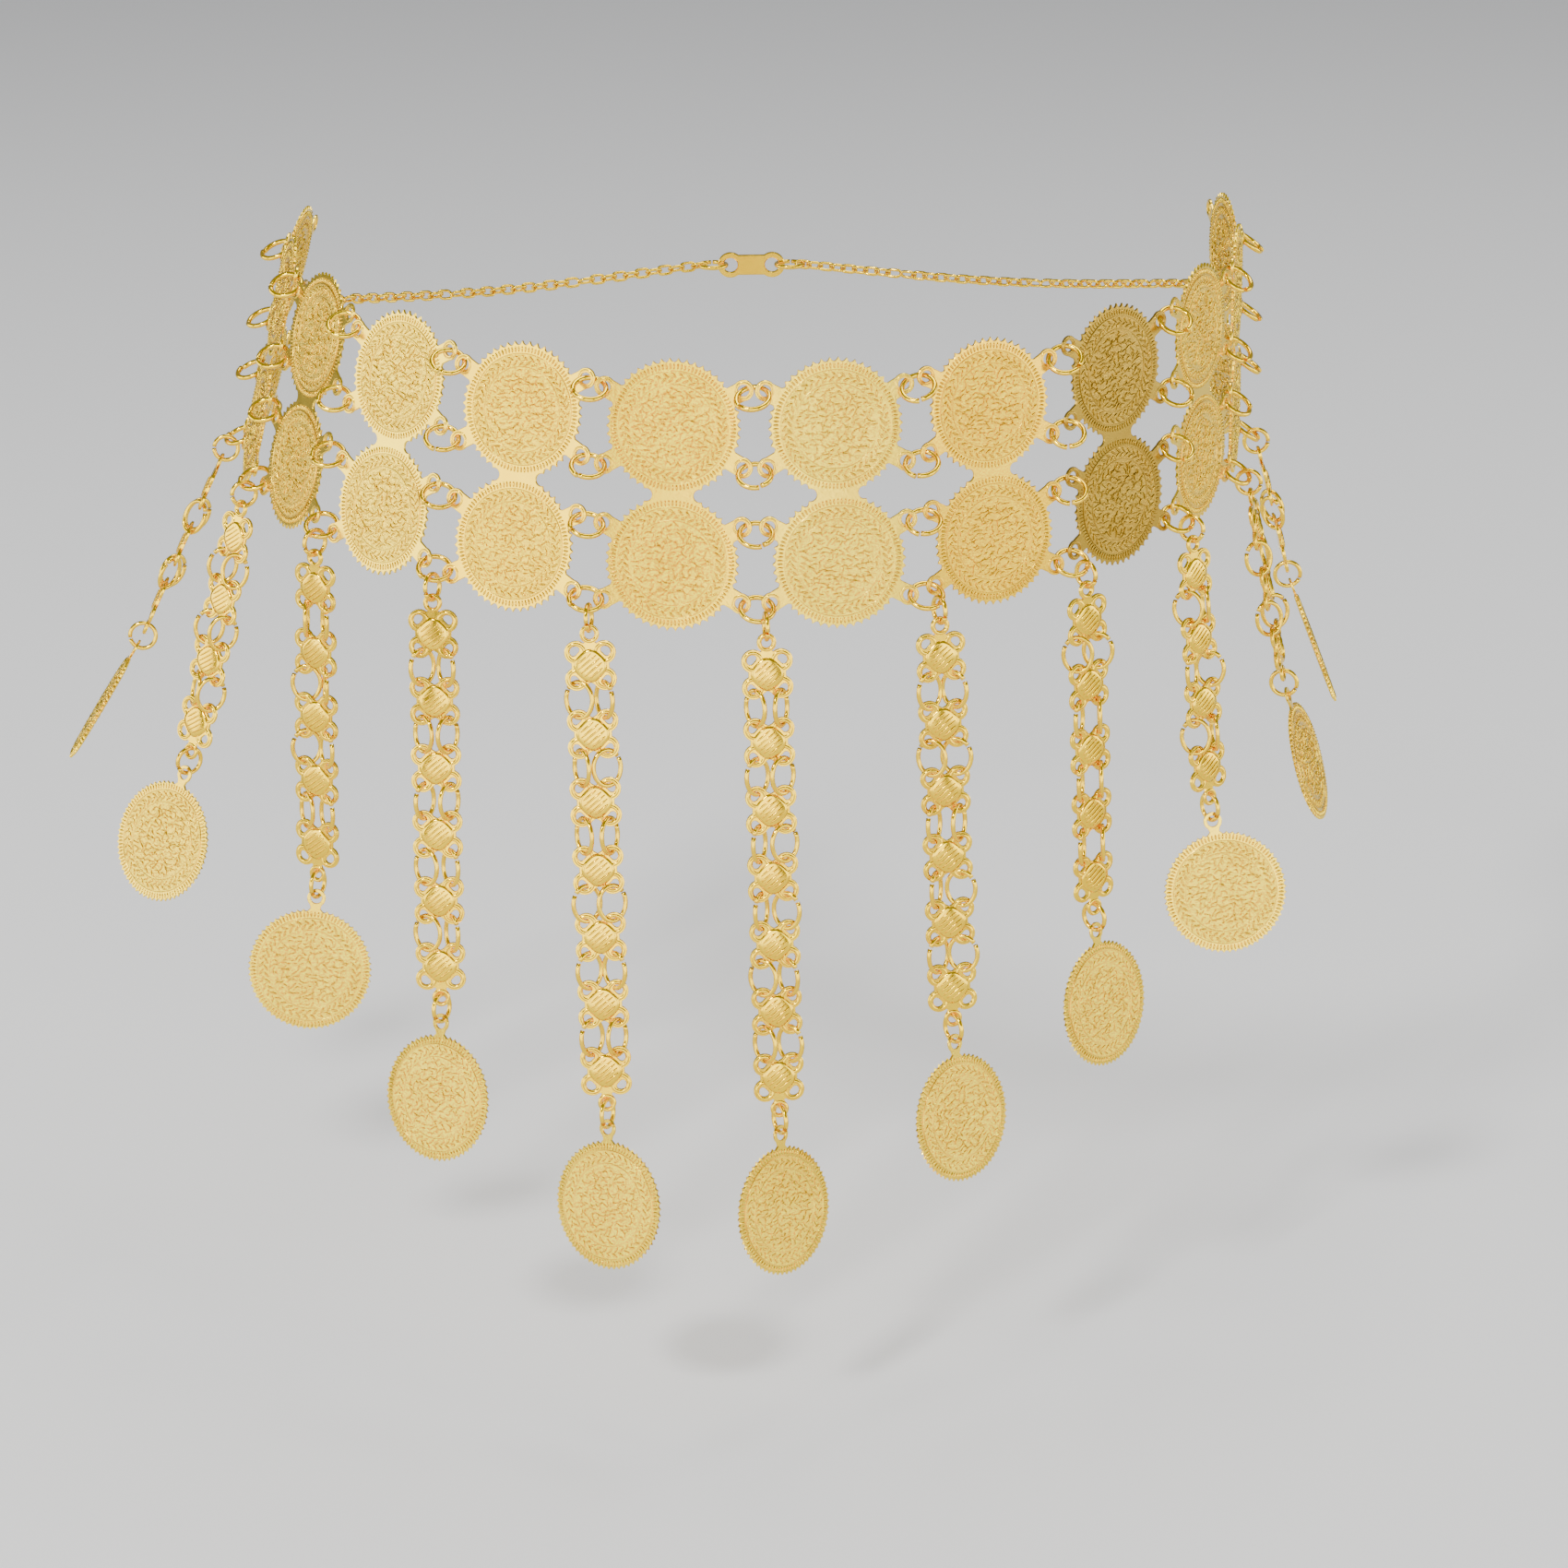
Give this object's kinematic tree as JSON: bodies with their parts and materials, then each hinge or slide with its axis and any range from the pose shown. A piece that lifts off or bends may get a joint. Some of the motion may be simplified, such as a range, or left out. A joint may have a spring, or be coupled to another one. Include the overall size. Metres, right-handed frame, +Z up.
{
  "type": "waist chain",
  "caption": "Worn waist chain of stamped gold double coins joined by rings, with hanging chains of flower links that end in toothed coins.",
  "frame": {"origin": "the middle of the open hip ring, level with the necks of the front plates", "axes": "+Z up, -Y to the wearer's front, +X to the right of a viewer who faces the front"},
  "size_m": [0.4219, 0.3701, 0.2812],
  "materials": {
    "plate_gold": "gold plated, stamped relief, satin to bright",
    "wire_gold": "gold plated, polished",
    "coin_gold": "gold plated, stamped relief, satin to bright"
  },
  "bodies": {
    "belt": {"plate_left_6": "plate_gold", "plate_left_5": "plate_gold", "plate_left_4": "plate_gold", "plate_left_3": "plate_gold", "plate_left_2": "plate_gold", "plate_left_1": "plate_gold", "plate_right_1": "plate_gold", "plate_right_2": "plate_gold", "plate_right_3": "plate_gold", "plate_right_4": "plate_gold", "plate_right_5": "plate_gold", "plate_right_6": "plate_gold", "back_chain_left": "wire_gold", "back_chain_right": "wire_gold", "hook": "wire_gold"},
    "hanging_01": {"drop_01": "wire_gold"},
    "coin_01": {"pendant_01": "coin_gold"},
    "hanging_02": {"drop_02": "wire_gold"},
    "coin_02": {"pendant_02": "coin_gold"},
    "hanging_03": {"drop_03": "wire_gold"},
    "coin_03": {"pendant_03": "coin_gold"},
    "hanging_04": {"drop_04": "wire_gold"},
    "coin_04": {"pendant_04": "coin_gold"},
    "hanging_05": {"drop_05": "wire_gold"},
    "coin_05": {"pendant_05": "coin_gold"},
    "hanging_06": {"drop_06": "wire_gold"},
    "coin_06": {"pendant_06": "coin_gold"},
    "hanging_07": {"drop_07": "wire_gold"},
    "coin_07": {"pendant_07": "coin_gold"},
    "hanging_08": {"drop_08": "wire_gold"},
    "coin_08": {"pendant_08": "coin_gold"},
    "hanging_09": {"drop_09": "wire_gold"},
    "coin_09": {"pendant_09": "coin_gold"},
    "hanging_10": {"drop_10": "wire_gold"},
    "coin_10": {"pendant_10": "coin_gold"},
    "hanging_11": {"drop_11": "wire_gold"},
    "coin_11": {"pendant_11": "coin_gold"}
  },
  "joints": [
    {"name": "drop_01_swing", "type": "hinge", "parent": "belt", "child": "hanging_01", "pos_m": [-0.17143, -0.00748, -0.02086], "axis": [-0.0848, 0.9885, -0.1251], "range_deg": [0, 75]},
    {"name": "drop_02_swing", "type": "hinge", "parent": "belt", "child": "hanging_02", "pos_m": [-0.16061, -0.05816, -0.02225], "axis": [-0.371, 0.9285, -0.0169], "range_deg": [0, 75]},
    {"name": "drop_03_swing", "type": "hinge", "parent": "belt", "child": "hanging_03", "pos_m": [-0.13474, -0.10301, -0.02541], "axis": [-0.6619, 0.7488, -0.0348], "range_deg": [0, 75]},
    {"name": "drop_04_swing", "type": "hinge", "parent": "belt", "child": "hanging_04", "pos_m": [-0.09666, -0.13821, -0.0294], "axis": [-0.8729, 0.483, -0.0692], "range_deg": [0, 75]},
    {"name": "drop_05_swing", "type": "hinge", "parent": "belt", "child": "hanging_05", "pos_m": [-0.04939, -0.16034, -0.03272], "axis": [-0.9822, 0.1807, -0.0516], "range_deg": [0, 75]},
    {"name": "drop_06_swing", "type": "hinge", "parent": "belt", "child": "hanging_06", "pos_m": [0.00266, -0.16671, -0.03397], "axis": [-0.9922, -0.1249, 0], "range_deg": [0, 75]},
    {"name": "drop_07_swing", "type": "hinge", "parent": "belt", "child": "hanging_07", "pos_m": [0.05389, -0.15671, -0.03266], "axis": [-0.9074, -0.4202, 0.0087], "range_deg": [0, 75]},
    {"name": "drop_08_swing", "type": "hinge", "parent": "belt", "child": "hanging_08", "pos_m": [0.09908, -0.13191, -0.02961], "axis": [-0.7414, -0.6711, 0], "range_deg": [0, 75]},
    {"name": "drop_09_swing", "type": "hinge", "parent": "belt", "child": "hanging_09", "pos_m": [0.13437, -0.09524, -0.02633], "axis": [-0.5249, -0.8495, 0.0519], "range_deg": [0, 75]},
    {"name": "drop_10_swing", "type": "hinge", "parent": "belt", "child": "hanging_10", "pos_m": [0.15672, -0.05039, -0.02412], "axis": [-0.2667, -0.9632, -0.0343], "range_deg": [0, 75]},
    {"name": "drop_11_swing", "type": "hinge", "parent": "belt", "child": "hanging_11", "pos_m": [0.16455, -0.00182, -0.02359], "axis": [-0.0139, -0.9993, -0.0338], "range_deg": [0, 75]},
    {"name": "coin_01_swing", "type": "hinge", "parent": "hanging_01", "child": "coin_01", "pos_m": [-0.2017, -0.01799, -0.08343], "axis": [-0.0848, 0.9885, -0.1251], "range_deg": [0, 75]},
    {"name": "coin_02_swing", "type": "hinge", "parent": "hanging_02", "child": "coin_02", "pos_m": [-0.18187, -0.06824, -0.10984], "axis": [-0.5909, 0.8051, 0.0507], "range_deg": [0, 75]},
    {"name": "coin_03_swing", "type": "hinge", "parent": "hanging_03", "child": "coin_03", "pos_m": [-0.138, -0.11104, -0.13617], "axis": [-0.9093, 0.416, -0.0034], "range_deg": [0, 75]},
    {"name": "coin_04_swing", "type": "hinge", "parent": "hanging_04", "child": "coin_04", "pos_m": [-0.0971, -0.15763, -0.15946], "axis": [-0.8553, 0.5128, -0.0737], "range_deg": [0, 75]},
    {"name": "coin_05_swing", "type": "hinge", "parent": "hanging_05", "child": "coin_05", "pos_m": [-0.04633, -0.18643, -0.18234], "axis": [-0.9219, 0.3781, -0.0848], "range_deg": [0, 75]},
    {"name": "coin_06_swing", "type": "hinge", "parent": "hanging_06", "child": "coin_06", "pos_m": [0.0053, -0.18769, -0.18439], "axis": [-0.8978, -0.438, 0.0453], "range_deg": [0, 75]},
    {"name": "coin_07_swing", "type": "hinge", "parent": "hanging_07", "child": "coin_07", "pos_m": [0.05815, -0.16862, -0.16355], "axis": [-0.8306, -0.5563, 0.0236], "range_deg": [0, 75]},
    {"name": "coin_08_swing", "type": "hinge", "parent": "hanging_08", "child": "coin_08", "pos_m": [0.10299, -0.13622, -0.14056], "axis": [-0.7175, -0.6965, 0.0018], "range_deg": [0, 75]},
    {"name": "coin_09_swing", "type": "hinge", "parent": "hanging_09", "child": "coin_09", "pos_m": [0.14133, -0.10503, -0.11623], "axis": [-0.857, -0.5151, -0.0102], "range_deg": [0, 75]},
    {"name": "coin_10_swing", "type": "hinge", "parent": "hanging_10", "child": "coin_10", "pos_m": [0.17028, -0.05169, -0.09309], "axis": [-0.2667, -0.9632, -0.0343], "range_deg": [0, 75]},
    {"name": "coin_11_swing", "type": "hinge", "parent": "hanging_11", "child": "coin_11", "pos_m": [0.17707, -0.00036, -0.07187], "axis": [-0.0139, -0.9993, -0.0338], "range_deg": [0, 75]}
  ]
}
